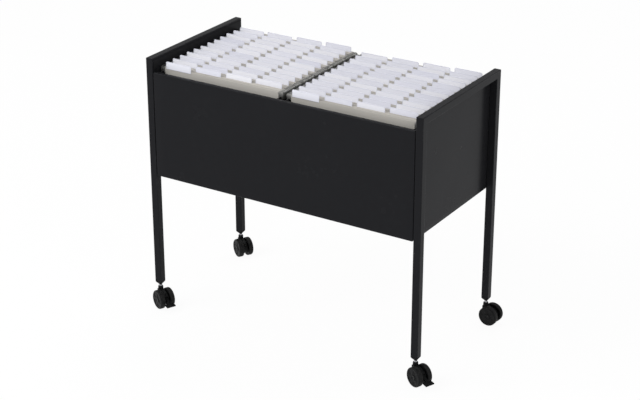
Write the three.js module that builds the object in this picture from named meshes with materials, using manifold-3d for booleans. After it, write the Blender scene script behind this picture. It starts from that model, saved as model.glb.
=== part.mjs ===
// Mobile file cart: two inverted-U side frames of square tube carry a sheet-steel case with two bays.
// Hanging files sit on three folded rails, and the cart rolls on four twin-wheel casters.
// Millimetres, +Z up, front towards -Y. The origin is on the floor under the middle of the frame.

import * as THREE from 'three';
import { mergeVertices } from 'three/addons/utils/BufferGeometryUtils.js';
import Module from 'manifold-3d';

const wasm = await Module();
wasm.setup();

// Clearances
const SEAT_GAP = 0.25;        // between painted faces that are fastened together
const RUNNING_GAP = 0.7;      // between a wheel and the caster body
const BORE_GAP = 0.25;        // round a pin in its bore, on the radius
const HOOK_GAP = 0.3;         // between a hook and the rail it sits on
const CUT = 1;                // how far a cutter runs past the face that it opens

// Side frames: square tube, mitred and welded
const CART_HEIGHT = 650;
const CART_DEPTH = 368;
const TUBE = 18;
const TUBE_WALL = 1.5;
const TUBE_CORNER = 1.2;

// Panels: folded sheet
const SHEET = 1;
const BEND = 0.8;             // inner bend radius
const PANEL_DROP = 33.5;      // frame top down to the top edge of the front and rear panels
const PANEL_HEIGHT = 262;
const EDGE_RETURN = 9;        // folded top and bottom edges
const END_FLANGE = 12;        // front and rear panels' ends, folded along the side panels
const SIDE_OVERLAP = 13;      // side panel over the inner faces of the tubes

// Rails
const FILE_SPAN = 330;        // from the lip of one rail to the lip of the next
const RAIL_SHEET = 1.2;
const RAIL_DEPTH = 16;        // lip height
const CENTRE_RAIL_WIDTH = 24;
const SIDE_RAIL_SHELF = 9;    // lip to the web that lies on the side panel
const SIDE_RAIL_WEB = 24;     // height of that web
const RAIL_TAB = 20;          // end tabs of the centre rail, on the front and rear panels

// Hanging files: thin ones that stand in groups of four, with one tab of a group in each column
const GROUPS_PER_BAY = 12;
const TAB_COLUMNS = 4;
const FRONT_ROOM = 39;        // front panel's face to the middle of the first group
const REAR_ROOM = 26;         // middle of the last group to the rear panel's face
const FILE_STEP = 6.2;        // one file of a group to the next
const FILE_THICKNESS = 5.4;   // at the folded top edges
const FOLD_DEPTH = 12;        // lip down to where the files of a group touch
const CARD_INSET = 6;         // lip to the side edge of the card
const CARD_DEPTH = 246;       // lip down to the bottom folds
const CARD_TOP = 4;           // folded edge above the lip
const CARD_TAPER = 2;         // narrowing of a group from the folds to the bottom, on each side
const BAR_THICKNESS = 1.2;
const BAR_TOP = 3.4;          // above the lip, inside the fold
const BAR_BOTTOM = -4;
const HOOK_REACH = 7.4;       // lip to the tip of the hook
const HOOK_DROP = 8;          // tip of the hook below the lip
const NOTCH_WIDTH = 5;
const TAB_SPACE = 4.5;        // between one column of tabs and the next
const TAB_TOP = 25;           // above the lip
const TAB_THICKNESS = 1;
const TAB_INSET = 0.4;        // front of the fold to the front of the tab
const TAB_BOTTOM = 2;         // above the lip, inside the fold
const TAB_CORNER = 3;

// Casters
const WHEEL_DIAMETER = 48;
const WHEEL_WIDTH = 13;
const HUB_WALL = 4;           // round the bore of a wheel
const RIM = 4;                // tread to the dished face
const RIM_SLOPE = 1;          // slope between the rim or the hub and the face
const INNER_RECESS = 2;
const OUTER_DISH = 1.6;
const RIM_STEP = 0.5;         // outer face of the rim behind the hub's
const HUB_STEP = 0.8;
const TREAD_EDGE = 1.5;       // bevel next to the caster body
const CROWN = 3.5;            // rounded outer shoulder of the tread
const CROWN_DROP = 2.5;
const WEB_WIDTH = 13;         // caster body between the wheels
const WEB_RADIUS = 17;
const TRAIL = 15;             // stem to axle, level
const AXLE_DIAMETER = 6;
const AXLE_IN_WHEEL = 9.5;
const STEM_DIAMETER = 8;
const STEM_IN_BODY = 22;
const STEM_IN_LEG = 26;
const BOSS_RISE = 5.5;        // top of the boss above the wheels
const BOSS_TAPER = 4;
const BOSS_LIP = 1.5;         // wall round the stem at the top of the boss
const NECK = 4.5;             // bare stem between the boss and the leg plug
const PLUG_TAPER = 7;
const PLUG_FLANGE = 2.2;
const PLUG_TIP = 9.5;         // width of the plug at its lower end
const PLUG_IN_LEG = 30;
const LEVER_WIDTH = 24;
const LEVER_NECK = 7.4;
const LEVER_GAP = 0.4;
const PEDAL_GAP = 3;          // wheels to the pedal of the lever
const LEVER_REACH = 40;       // axle to the tip, level
const LEVER_THICKNESS = 3.6;
const PIVOT_DIAMETER = 3.6;
const PIVOT_OUT = 12.5;       // axle to the lever's pivot, level
const PIVOT_UP = 4;

const ROUND = 20;             // sides of a wheel
const PIN_ROUND = 12;         // sides of a pin or a bore

// Way that each caster trails, in degrees from +X
const CASTERS = {
  front_left: { side: -1, end: -1, trails: -25, brake: true },
  front_right: { side: 1, end: -1, trails: -22, brake: true },
  rear_left: { side: -1, end: 1, trails: -31, brake: false },
  rear_right: { side: 1, end: 1, trails: -3, brake: false },
};

// Levels and planes that the pieces share
const HALF_DEPTH = CART_DEPTH / 2;
const PANEL_TOP = CART_HEIGHT - PANEL_DROP;
const PANEL_BOTTOM = PANEL_TOP - PANEL_HEIGHT;
const RAIL_TOP = PANEL_TOP - SHEET - SEAT_GAP;
const RAIL_BOTTOM = RAIL_TOP - RAIL_DEPTH;
const CENTRE_LIP = (CENTRE_RAIL_WIDTH - RAIL_SHEET) / 2;
const SIDE_LIP = CENTRE_LIP + FILE_SPAN;
const SIDE_WEB_FACE = SIDE_LIP + SIDE_RAIL_SHELF + RAIL_SHEET;
const SIDE_PANEL_IN = SIDE_WEB_FACE + SEAT_GAP;
const SIDE_PANEL_OUT = SIDE_PANEL_IN + SHEET;
const FRAME_IN = SIDE_PANEL_OUT + SEAT_GAP;
const FRAME_OUT = FRAME_IN + TUBE;
const LEG_X = FRAME_IN + TUBE / 2;
const LEG_Y = HALF_DEPTH - TUBE / 2;
const WHEEL_RADIUS = WHEEL_DIAMETER / 2;
const BOSS_TOP = WHEEL_DIAMETER + BOSS_RISE;
const PLUG_BOTTOM = BOSS_TOP + NECK;
const LEG_END = PLUG_BOTTOM + PLUG_TAPER + PLUG_FLANGE + SEAT_GAP;
const GROUP_PITCH = (CART_DEPTH - FRONT_ROOM - REAR_ROOM) / (GROUPS_PER_BAY - 1);
const CARD_WIDTH = FILE_SPAN - 2 * CARD_INSET;
const TAB_PITCH = CARD_WIDTH / TAB_COLUMNS;
const TAB_WIDTH = TAB_PITCH - TAB_SPACE;

// Finishes
const blackPaint = new THREE.MeshStandardMaterial({ color: 0x232426, roughness: 0.45, metalness: 0.2 });
const blackPlastic = new THREE.MeshStandardMaterial({ color: 0x141516, roughness: 0.5, metalness: 0 });
const steel = new THREE.MeshStandardMaterial({ color: 0x9a9c9f, roughness: 0.35, metalness: 0.9 });
const card = new THREE.MeshStandardMaterial({ color: 0xc9bda2, roughness: 0.85, metalness: 0 });

// Closed geometry as a solid that can be cut and joined
function solid(geometry) {
  const bare = geometry.clone();
  bare.deleteAttribute('normal');
  bare.deleteAttribute('uv');
  const merged = mergeVertices(bare, 1e-4);
  const mesh = new wasm.Mesh({
    numProp: 3,
    vertProperties: new Float32Array(merged.attributes.position.array),
    triVerts: new Uint32Array(merged.index.array),
  });
  return new wasm.Manifold(mesh);
}

function geometryOf(body) {
  const mesh = body.getMesh();
  const geometry = new THREE.BufferGeometry();
  geometry.setAttribute('position', new THREE.BufferAttribute(mesh.vertProperties, 3));
  geometry.setIndex(new THREE.BufferAttribute(mesh.triVerts, 1));
  return geometry;
}

function extruded(shape, length, options = {}) {
  const settings = { depth: length, bevelEnabled: false, curveSegments: 6, ...options };
  return new THREE.ExtrudeGeometry(shape, settings);
}

// Profiles drawn in the plane across an axis and carried along it
function alongX(shape, from, to, options) {
  const turn = new THREE.Matrix4().makeBasis(
    new THREE.Vector3(0, 1, 0), new THREE.Vector3(0, 0, 1), new THREE.Vector3(1, 0, 0));
  return extruded(shape, to - from, options).applyMatrix4(turn).translate(from, 0, 0);
}

function alongY(shape, from, to, options) {
  const turn = new THREE.Matrix4().makeBasis(
    new THREE.Vector3(1, 0, 0), new THREE.Vector3(0, 0, 1), new THREE.Vector3(0, -1, 0));
  return extruded(shape, to - from, options).applyMatrix4(turn).translate(0, to, 0);
}

function block(x0, x1, y0, y1, z0, z1) {
  const box = new THREE.BoxGeometry(x1 - x0, y1 - y0, z1 - z0);
  return box.translate((x0 + x1) / 2, (y0 + y1) / 2, (z0 + z1) / 2);
}

function polygon(points) {
  return new THREE.Shape(points.map(([x, y]) => new THREE.Vector2(x, y)));
}

// Round bar between two levels on the vertical axis, or between two places on the Y axis
function roundUp(radius, from, to, topRadius = radius, sides = PIN_ROUND) {
  const bar = new THREE.CylinderGeometry(topRadius, radius, to - from, sides);
  return bar.rotateX(Math.PI / 2).translate(0, 0, (from + to) / 2);
}

function roundAcross(radius, halfLength, x, z, sides = PIN_ROUND) {
  return new THREE.CylinderGeometry(radius, radius, 2 * halfLength, sides).translate(x, 0, z);
}

// Cross-section of a folded sheet: the path is its outer face, the sheet lies to the left of it,
// and each corner turns left by a bend of the given inner radius
function foldedSection(path, thickness, bend, steps = 3) {
  const points = path.map(([x, y]) => new THREE.Vector2(x, y));
  const outer = [points[0].clone()];
  const inner = [];
  const leftOf = (a, b) => {
    const way = b.clone().sub(a).normalize();
    return new THREE.Vector2(-way.y, way.x);
  };
  const firstLeft = leftOf(points[0], points[1]);
  inner.push(points[0].clone().addScaledVector(firstLeft, thickness));
  for (let i = 1; i < points.length - 1; i += 1) {
    const before = leftOf(points[i - 1], points[i]);
    const after = leftOf(points[i], points[i + 1]);
    const middle = before.clone().add(after).normalize();
    const radius = bend + thickness;
    const centre = points[i].clone().addScaledVector(middle, radius / middle.dot(before));
    for (let k = 0; k <= steps; k += 1) {
      const spoke = before.clone().lerp(after, k / steps).normalize();
      outer.push(centre.clone().addScaledVector(spoke, -radius));
      inner.push(centre.clone().addScaledVector(spoke, -bend));
    }
  }
  const last = points[points.length - 1];
  const lastLeft = leftOf(points[points.length - 2], last);
  outer.push(last.clone());
  inner.push(last.clone().addScaledVector(lastLeft, thickness));
  return new THREE.Shape([...outer, ...inner.reverse()]);
}

const cart = new THREE.Group();

function place(name, geometry, material, parent = cart) {
  const mesh = new THREE.Mesh(geometry, material);
  mesh.name = name;
  parent.add(mesh);
  return mesh;
}

// Side frame: front leg, top rail and rear leg in one U of tube, open at the feet
function arch(inset, foot) {
  const side = HALF_DEPTH - inset;
  const top = CART_HEIGHT - inset;
  const inside = HALF_DEPTH - TUBE + inset;
  const under = CART_HEIGHT - TUBE + inset;
  return polygon([
    [-side, foot], [-inside, foot], [-inside, under], [inside, under],
    [inside, foot], [side, foot], [side, top], [-side, top],
  ]);
}

function sideFrame(from) {
  const rounding = {
    bevelEnabled: true,
    bevelSize: TUBE_CORNER,
    bevelThickness: TUBE_CORNER,
    bevelOffset: -TUBE_CORNER,
    bevelSegments: 2,
  };
  const tube = alongX(arch(0, LEG_END), from + TUBE_CORNER, from + TUBE - TUBE_CORNER, rounding);
  const bore = alongX(arch(TUBE_WALL, LEG_END - TUBE), from + TUBE_WALL, from + TUBE - TUBE_WALL);
  return geometryOf(solid(tube).subtract(solid(bore)));
}

// Side panel: flat sheet on the inner faces of the tubes, with its lower edge folded inwards
function sidePanel(side) {
  const edgeY = HALF_DEPTH - TUBE + SIDE_OVERLAP;
  const top = CART_HEIGHT - TUBE + SIDE_OVERLAP;
  const outside = side * SIDE_PANEL_OUT;
  const inside = side * SIDE_PANEL_IN;
  const tip = side * (SIDE_PANEL_IN - EDGE_RETURN);
  const sheet = block(Math.min(outside, inside), Math.max(outside, inside),
    -edgeY, edgeY, PANEL_BOTTOM, top);
  const foldY = HALF_DEPTH - END_FLANGE - SHEET;
  const fold = block(Math.min(outside, tip), Math.max(outside, tip),
    -foldY, foldY, PANEL_BOTTOM, PANEL_BOTTOM + SHEET);
  return geometryOf(solid(sheet).add(solid(fold)));
}

// Front panel: sheet with folded top and bottom edges and an end flange along each side panel
function frontPanel() {
  const endX = SIDE_PANEL_IN - SEAT_GAP;
  const face = -HALF_DEPTH;
  const section = foldedSection([
    [face + EDGE_RETURN, PANEL_TOP], [face, PANEL_TOP],
    [face, PANEL_BOTTOM], [face + EDGE_RETURN, PANEL_BOTTOM],
  ], SHEET, BEND);
  let panel = solid(alongX(section, -endX, endX));
  for (const side of [-1, 1]) {
    const outer = side * endX;
    const inner = side * (endX - SHEET);
    const flange = block(Math.min(outer, inner), Math.max(outer, inner),
      face + SHEET / 2, face + END_FLANGE, PANEL_BOTTOM + SHEET / 2, PANEL_TOP - SHEET / 2);
    panel = panel.add(solid(flange));
  }
  return geometryOf(panel);
}

// Rail: folded channel, open at the top, with a lip on one side or both
function channel(left, leftTop, right, rightTop, from, to) {
  const section = foldedSection([
    [left, leftTop], [left, RAIL_BOTTOM], [right, RAIL_BOTTOM], [right, rightTop],
  ], RAIL_SHEET, BEND);
  return alongY(section, from, to);
}

function centreRail() {
  const half = CENTRE_RAIL_WIDTH / 2;
  const end = HALF_DEPTH - SHEET - SEAT_GAP;
  let rail = solid(channel(-half, RAIL_TOP, half, RAIL_TOP, -end, end));
  for (const y of [-end, end - RAIL_SHEET]) {
    const tab = block(-RAIL_TAB / 2, RAIL_TAB / 2, y, y + RAIL_SHEET,
      RAIL_BOTTOM - RAIL_TAB, RAIL_BOTTOM + RAIL_SHEET);
    rail = rail.add(solid(tab));
  }
  return geometryOf(rail);
}

function sideRail(side) {
  const end = HALF_DEPTH - END_FLANGE - SEAT_GAP;
  const lip = SIDE_LIP - RAIL_SHEET / 2;
  const webTop = RAIL_BOTTOM + SIDE_RAIL_WEB;
  if (side < 0) return channel(-SIDE_WEB_FACE, webTop, -lip, RAIL_TOP, -end, end);
  return channel(lip, RAIL_TOP, SIDE_WEB_FACE, webTop, -end, end);
}

// Group of hanging files: filled card pockets folded over steel bars, whose notched ends hook on the rails,
// with a tab in the front of each fold. The bars of the outer files stand for all four. The lip of the
// rail is at z = 0.
function placeInGroup(column, step) {
  return (column - (TAB_COLUMNS - 1) / 2) * step;
}

function hangingBar() {
  const lip = FILE_SPAN / 2;
  const half = [
    [lip - NOTCH_WIDTH, BAR_BOTTOM],
    [lip - NOTCH_WIDTH / 2, HOOK_GAP],
    [lip + NOTCH_WIDTH / 2, HOOK_GAP],
    [lip + NOTCH_WIDTH / 2, -HOOK_DROP],
    [lip + HOOK_REACH, -HOOK_DROP],
    [lip + HOOK_REACH, BAR_TOP],
  ];
  const other = half.map(([x, z]) => [-x, z]).reverse();
  return polygon([...half, ...other]);
}

function groupSection() {
  const outline = [];
  for (let column = 0; column < TAB_COLUMNS; column += 1) {
    const front = placeInGroup(column, FILE_STEP) - FILE_THICKNESS / 2;
    const back = front + FILE_THICKNESS;
    outline.push([front, -FOLD_DEPTH], [front, CARD_TOP], [back, CARD_TOP], [back, -FOLD_DEPTH]);
  }
  const low = placeInGroup(TAB_COLUMNS - 1, FILE_STEP) + FILE_THICKNESS / 2 - CARD_TAPER;
  outline.push([low, -CARD_DEPTH], [-low, -CARD_DEPTH]);
  return polygon(outline.reverse());
}

function tabOutline(column) {
  const middle = placeInGroup(column, TAB_PITCH);
  const left = middle - TAB_WIDTH / 2;
  const right = middle + TAB_WIDTH / 2;
  return polygon([
    [left, TAB_BOTTOM], [right, TAB_BOTTOM], [right, TAB_TOP - TAB_CORNER],
    [right - TAB_CORNER, TAB_TOP], [left + TAB_CORNER, TAB_TOP], [left, TAB_TOP - TAB_CORNER],
  ]);
}

function fileGroup() {
  let group = solid(alongX(groupSection(), -CARD_WIDTH / 2, CARD_WIDTH / 2));
  for (let column = 0; column < TAB_COLUMNS; column += 1) {
    const tabFront = placeInGroup(column, FILE_STEP) - FILE_THICKNESS / 2 + TAB_INSET;
    group = group.add(solid(alongY(tabOutline(column), tabFront, tabFront + TAB_THICKNESS)));
  }
  for (const column of [0, TAB_COLUMNS - 1]) {
    const y = placeInGroup(column, FILE_STEP);
    group = group.add(solid(alongY(hangingBar(), y - BAR_THICKNESS / 2, y + BAR_THICKNESS / 2)));
  }
  return geometryOf(group);
}

function addFiles(bay, side) {
  const middle = side * (CENTRE_LIP + SIDE_LIP) / 2;
  for (let i = 0; i < GROUPS_PER_BAY; i += 1) {
    const group = place(`${bay}_file_${String(i + 1).padStart(2, '0')}`, fileGroup(), card);
    group.position.set(middle, -HALF_DEPTH + FRONT_ROOM + i * GROUP_PITCH, RAIL_TOP);
  }
}

// Leg plug: square plug in the tube, with a tapered end under it and a bore for the stem
function legPlug() {
  const bore = TUBE - 2 * TUBE_WALL - 2 * BORE_GAP;
  const squareRadius = (width) => width / Math.SQRT2;
  const square = (low, high, from, to) => {
    const post = new THREE.CylinderGeometry(squareRadius(high), squareRadius(low), to - from, 4);
    return solid(post.rotateY(Math.PI / 4).rotateX(Math.PI / 2).translate(0, 0, (from + to) / 2));
  };
  const shoulder = PLUG_BOTTOM + PLUG_TAPER;
  const seat = shoulder + PLUG_FLANGE;
  const plug = square(PLUG_TIP, TUBE, PLUG_BOTTOM, shoulder)
    .add(square(TUBE, TUBE, shoulder, seat))
    .add(square(bore, bore, seat - SEAT_GAP, seat + PLUG_IN_LEG));
  const hole = roundUp(STEM_DIAMETER / 2 + BORE_GAP, PLUG_BOTTOM - CUT, seat + PLUG_IN_LEG + CUT);
  return geometryOf(plug.subtract(solid(hole)));
}

function stem() {
  return roundUp(STEM_DIAMETER / 2, BOSS_TOP - STEM_IN_BODY, LEG_END + STEM_IN_LEG);
}

// Caster body: web between the wheels, with the swivel boss in front of the axle.
// In a caster's own group the stem is the vertical axis and the wheels trail towards +X.
function webOutline() {
  const boss = WEB_WIDTH / 2;
  const shoulder = WHEEL_DIAMETER - BOSS_TAPER;
  const outline = new THREE.Shape();
  outline.moveTo(-boss, shoulder);
  outline.lineTo(-boss, WHEEL_RADIUS);
  outline.quadraticCurveTo(-boss, WHEEL_RADIUS - WEB_RADIUS, TRAIL, WHEEL_RADIUS - WEB_RADIUS);
  outline.absarc(TRAIL, WHEEL_RADIUS, WEB_RADIUS, -Math.PI / 2, Math.PI / 2, false);
  outline.lineTo(boss, shoulder);
  outline.closePath();
  return outline;
}

function casterBody(brake) {
  const web = WEB_WIDTH / 2;
  let body = solid(alongY(webOutline(), -web, web));
  body = body.add(solid(roundUp(web, WHEEL_RADIUS, BOSS_TOP - BOSS_TAPER)));
  body = body.add(solid(roundUp(web, BOSS_TOP - BOSS_TAPER, BOSS_TOP, STEM_DIAMETER / 2 + BOSS_LIP)));
  const stemBore = STEM_DIAMETER / 2 + BORE_GAP;
  body = body.subtract(solid(roundUp(stemBore, BOSS_TOP - STEM_IN_BODY - SEAT_GAP, BOSS_TOP + CUT)));
  body = body.subtract(solid(roundAcross(AXLE_DIAMETER / 2 + BORE_GAP, web + CUT, TRAIL, WHEEL_RADIUS)));
  if (!brake) return geometryOf(body);
  const slot = LEVER_NECK / 2 + LEVER_GAP;
  const pivotBore = PIVOT_DIAMETER / 2 + BORE_GAP;
  const pivotHub = PIVOT_DIAMETER + LEVER_GAP;
  body = body.subtract(solid(block(TRAIL + PIVOT_OUT - pivotHub, TRAIL + WEB_RADIUS + CUT, -slot, slot,
    WHEEL_RADIUS - WEB_RADIUS, WHEEL_RADIUS + PIVOT_UP + pivotHub)));
  const pivotHole = roundAcross(pivotBore, web + CUT, TRAIL + PIVOT_OUT, WHEEL_RADIUS + PIVOT_UP);
  body = body.subtract(solid(pivotHole));
  return geometryOf(body);
}

// Brake lever: neck in the slot of the body on a cross pin, and a broad pedal behind the wheels.
// It is drawn pressed down, as on a parked cart.
function brakeLever() {
  const x = TRAIL + PIVOT_OUT;
  const z = WHEEL_RADIUS + PIVOT_UP;
  const hub = PIVOT_DIAMETER;
  const tip = TRAIL + LEVER_REACH;
  const start = TRAIL + WHEEL_RADIUS + PEDAL_GAP;
  const pedalTop = WHEEL_RADIUS - PIVOT_UP;
  const pedalUnder = pedalTop - LEVER_THICKNESS;
  const neck = polygon([
    [x - hub, z], [x, z - hub], [start, pedalUnder], [start + hub, pedalUnder],
    [start + hub, pedalTop], [x + hub, z], [x, z + hub],
  ]);
  const pedal = polygon([
    [start, pedalUnder], [tip - LEVER_THICKNESS, pedalUnder - LEVER_THICKNESS],
    [tip, pedalUnder - LEVER_THICKNESS / 2], [tip, pedalTop - LEVER_THICKNESS / 2], [start, pedalTop],
  ]);
  const pin = roundAcross(PIVOT_DIAMETER / 2, WEB_WIDTH / 2, x, z);
  return geometryOf(solid(alongY(neck, -LEVER_NECK / 2, LEVER_NECK / 2))
    .add(solid(alongY(pedal, -LEVER_WIDTH / 2, LEVER_WIDTH / 2)))
    .add(solid(pin)));
}

// Wheel: crowned tread, dished faces and a blind bore that hides the end of the axle.
// Its flats are as far from the axle as the wheel's radius, and one of them is underneath.
function wheel(side) {
  const tread = WHEEL_RADIUS / Math.cos(Math.PI / ROUND);
  const bore = AXLE_DIAMETER / 2 + BORE_GAP;
  const hub = AXLE_DIAMETER / 2 + HUB_WALL;
  const rim = tread - RIM;
  const boreEnd = AXLE_IN_WHEEL + BORE_GAP;
  const profile = [
    [0, boreEnd], [bore, boreEnd], [bore, 0], [hub, 0],
    [hub, INNER_RECESS], [rim, INNER_RECESS], [rim + RIM_SLOPE, 0], [tread - TREAD_EDGE, 0],
    [tread, TREAD_EDGE], [tread, WHEEL_WIDTH - CROWN], [tread - CROWN_DROP, WHEEL_WIDTH - HUB_STEP],
    [rim, WHEEL_WIDTH - RIM_STEP], [rim - RIM_SLOPE, WHEEL_WIDTH - OUTER_DISH],
    [hub + RIM_SLOPE, WHEEL_WIDTH - HUB_STEP], [hub, WHEEL_WIDTH], [0, WHEEL_WIDTH],
  ].map(([radius, along]) => new THREE.Vector2(radius, along));
  const spun = new THREE.LatheGeometry(profile, ROUND).rotateY(Math.PI / ROUND);
  if (side < 0) spun.rotateZ(Math.PI);
  return spun.translate(TRAIL, side * (WEB_WIDTH / 2 + RUNNING_GAP), WHEEL_RADIUS);
}

function axle() {
  const half = WEB_WIDTH / 2 + RUNNING_GAP + AXLE_IN_WHEEL;
  return roundAcross(AXLE_DIAMETER / 2, half, TRAIL, WHEEL_RADIUS);
}

function addCaster(corner, { side, end, trails, brake }) {
  const fixed = new THREE.Group();
  fixed.position.set(side * LEG_X, end * LEG_Y, 0);
  cart.add(fixed);
  place(`${corner}_leg_plug`, legPlug(), blackPlastic, fixed);
  place(`${corner}_caster_stem`, stem(), steel, fixed);
  const caster = new THREE.Group();
  caster.rotation.z = THREE.MathUtils.degToRad(trails);
  fixed.add(caster);
  place(`${corner}_caster_body`, casterBody(brake), blackPlastic, caster);
  place(`${corner}_axle`, axle(), steel, caster);
  place(`${corner}_wheel_1`, wheel(-1), blackPlastic, caster);
  place(`${corner}_wheel_2`, wheel(1), blackPlastic, caster);
  if (brake) place(`${corner}_brake_lever`, brakeLever(), blackPlastic, caster);
}

place('left_side_frame', sideFrame(-FRAME_OUT), blackPaint);
place('right_side_frame', sideFrame(FRAME_IN), blackPaint);
place('left_side_panel', sidePanel(-1), blackPaint);
place('right_side_panel', sidePanel(1), blackPaint);
place('front_panel', frontPanel(), blackPaint);
place('rear_panel', frontPanel(), blackPaint).rotation.z = Math.PI;
place('left_rail', sideRail(-1), blackPaint);
place('centre_rail', centreRail(), blackPaint);
place('right_rail', sideRail(1), blackPaint);
addFiles('left', -1);
addFiles('right', 1);
for (const [corner, settings] of Object.entries(CASTERS)) addCaster(corner, settings);

export default cart;
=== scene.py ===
"""Looks of the mobile file cart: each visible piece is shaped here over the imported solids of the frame."""
from collections import namedtuple
from math import atan2, cos, radians, sin

import bmesh
import bpy
import numpy as np
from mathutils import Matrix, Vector


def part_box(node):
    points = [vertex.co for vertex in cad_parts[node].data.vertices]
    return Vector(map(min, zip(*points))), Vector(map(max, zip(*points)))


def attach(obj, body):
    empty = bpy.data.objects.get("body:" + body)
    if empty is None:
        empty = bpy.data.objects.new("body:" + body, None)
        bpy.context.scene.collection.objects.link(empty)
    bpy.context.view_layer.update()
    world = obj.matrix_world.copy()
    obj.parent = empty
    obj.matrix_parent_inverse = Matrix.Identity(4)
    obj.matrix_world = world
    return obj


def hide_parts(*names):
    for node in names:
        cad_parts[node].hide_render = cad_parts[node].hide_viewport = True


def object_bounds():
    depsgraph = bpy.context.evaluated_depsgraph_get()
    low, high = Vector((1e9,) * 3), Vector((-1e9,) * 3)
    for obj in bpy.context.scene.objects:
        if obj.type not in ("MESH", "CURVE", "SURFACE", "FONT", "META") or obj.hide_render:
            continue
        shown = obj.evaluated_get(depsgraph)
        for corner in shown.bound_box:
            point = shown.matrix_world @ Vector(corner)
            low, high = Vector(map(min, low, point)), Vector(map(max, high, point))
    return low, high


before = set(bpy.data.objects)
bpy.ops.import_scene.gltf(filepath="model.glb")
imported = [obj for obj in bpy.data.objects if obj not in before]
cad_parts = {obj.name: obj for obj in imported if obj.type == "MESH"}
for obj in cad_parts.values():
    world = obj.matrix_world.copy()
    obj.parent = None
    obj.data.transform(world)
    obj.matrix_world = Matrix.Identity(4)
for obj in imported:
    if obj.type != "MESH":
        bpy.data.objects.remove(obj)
cad_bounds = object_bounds()

# Side frames: each is an inverted U of square steel tube, mitred and welded at the top corners and ground
# flush, with a short fillet weld left inside each corner. All the steelwork is powder-coated satin black.
MM = 0.001
TUBE = 18 * MM
TUBE_EDGE = 1.3 * MM
EDGE_SHOULDER = 1.2 * MM    # width of the rubbed paint beside an edge
ARC_STEPS = 5
WELD_RADIUS = 1.5 * MM
WELD_RIPPLES = 11
WELD_SWELL = 0.16           # share of the bead's radius
WELD_SIDES = 10
SAME_POINT = 0.001 * MM
SHARP_EDGE = radians(38)
PEEL_DEPTH = 0.02 * MM
PAINT_GLOSS = 0.05
BLACK_PAINT = (0.0132, 0.0133, 0.0149, 1)
RUBBED_PAINT = (0.028, 0.029, 0.031, 1)
PAINT_SHEEN = (0.90, 0.94, 1.0, 1)
DUST = (0.16, 0.155, 0.145, 1)

Part = namedtuple("Part", "points faces finishes mark")


class Value:
    """A value inside a material: operators add Math nodes and node() adds any other kind."""

    def __init__(self, tree, socket=None):
        self.tree = tree
        self.socket = socket

    def node(self, kind, settings, links, output=0):
        """A node of that kind: its settings first, then the value or the link of each socket."""
        made = self.tree.nodes.new(kind)
        for name, setting in settings.items():
            setattr(made, name, setting)
        for name, value in links.items():
            if isinstance(value, Value):
                self.tree.links.new(value.socket, made.inputs[name])
            else:
                made.inputs[name].default_value = value
        return Value(self.tree, made.outputs[output] if made.outputs else None)

    def math(self, operation, first, second):
        return self.node("ShaderNodeMath", {"operation": operation}, {0: first, 1: second})

    def __add__(self, other):
        return self.math("ADD", self, other)

    def __radd__(self, other):
        return self.math("ADD", other, self)

    def __sub__(self, other):
        return self.math("SUBTRACT", self, other)

    def __rsub__(self, other):
        return self.math("SUBTRACT", other, self)

    def __mul__(self, other):
        return self.math("MULTIPLY", self, other)

    def __rmul__(self, other):
        return self.math("MULTIPLY", other, self)


def blank_material(name):
    """A material without nodes, and the value that its nodes are built from."""
    material = bpy.data.materials.new(name)
    material.use_nodes = True
    material.node_tree.nodes.clear()
    return material, Value(material.node_tree)


def object_place(start, stretch=(1, 1, 1)):
    """The place on the object in metres, stretched along each axis."""
    place = start.node("ShaderNodeTexCoord", {}, {}, "Object")
    return start.node("ShaderNodeVectorMath", {"operation": "MULTIPLY"}, {0: place, 1: stretch})


def noise(place, scale, detail):
    """Smooth noise from 0 to 1, with about scale waves to a metre and finer ones by the detail."""
    return place.node("ShaderNodeTexNoise", {}, {"Vector": place, "Scale": scale, "Detail": detail})


def step_up(value, low, high):
    """A mask: 0 below low, 1 above high and an even S between them."""
    return value.node("ShaderNodeMapRange", {"interpolation_type": "SMOOTHSTEP"},
                      {"Value": value, "From Min": low, "From Max": high})


def blend(mask, first, second):
    """Colour that goes from the first to the second as the mask goes from 0 to 1."""
    return mask.node("ShaderNodeMix", {"data_type": "RGBA"}, {0: mask, 6: first, 7: second}, 2)


def marked(start):
    """The piece's own mark: 1 on rubbed edges, or the shade of one sheet among many."""
    return start.node("ShaderNodeAttribute", {"attribute_name": "mark"}, {}, "Fac")


def bumped(height, distance):
    """Normal of a surface that rises by distance, in metres, where the height goes from 0 to 1."""
    return height.node("ShaderNodeBump", {}, {"Height": height, "Distance": distance})


def surface(material, start, sockets):
    """Ends a material in one principled surface with these sockets."""
    shader = start.node("ShaderNodeBsdfPrincipled", {}, sockets)
    start.node("ShaderNodeOutputMaterial", {}, {"Surface": shader})
    return material


def powder_coat():
    """Black powder coat: orange-peel skin, cloudy gloss, faint dust, and edges rubbed here and there."""
    material, start = blank_material("black_powder_coat")
    place = object_place(start)
    cloud = noise(place, 7, 3)
    fleck = noise(place, 420, 4) * 0.6 + noise(place, 26, 2) * 0.6
    rubbed = step_up(marked(start) * 0.6 + fleck, 1.2, 1.42)
    dust = step_up(noise(place, 60, 5) * 0.6 + cloud * 0.5, 0.5, 0.9) * 0.012
    return surface(material, start, {
        "Base Color": blend(dust, blend(rubbed, BLACK_PAINT, RUBBED_PAINT), DUST),
        "Roughness": 0.2 + cloud * 0.1 + rubbed * 0.14 + dust * 2,
        "Specular IOR Level": PAINT_GLOSS,
        "Specular Tint": PAINT_SHEEN,
        "Normal": bumped(noise(place, 900, 1), PEEL_DEPTH),
    })


def quads(rows, columns, round_columns=False):
    """Corners of the quads of a rows x columns grid of points, numbered row by row."""
    row = np.arange(rows - 1)[:, None] * columns
    column = np.arange(columns if round_columns else columns - 1)[None, :]
    beside = (column + 1) % columns
    corners = [row + column, row + beside, row + columns + beside, row + columns + column]
    return np.stack(np.broadcast_arrays(*corners), -1).reshape(-1, 4)


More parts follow.
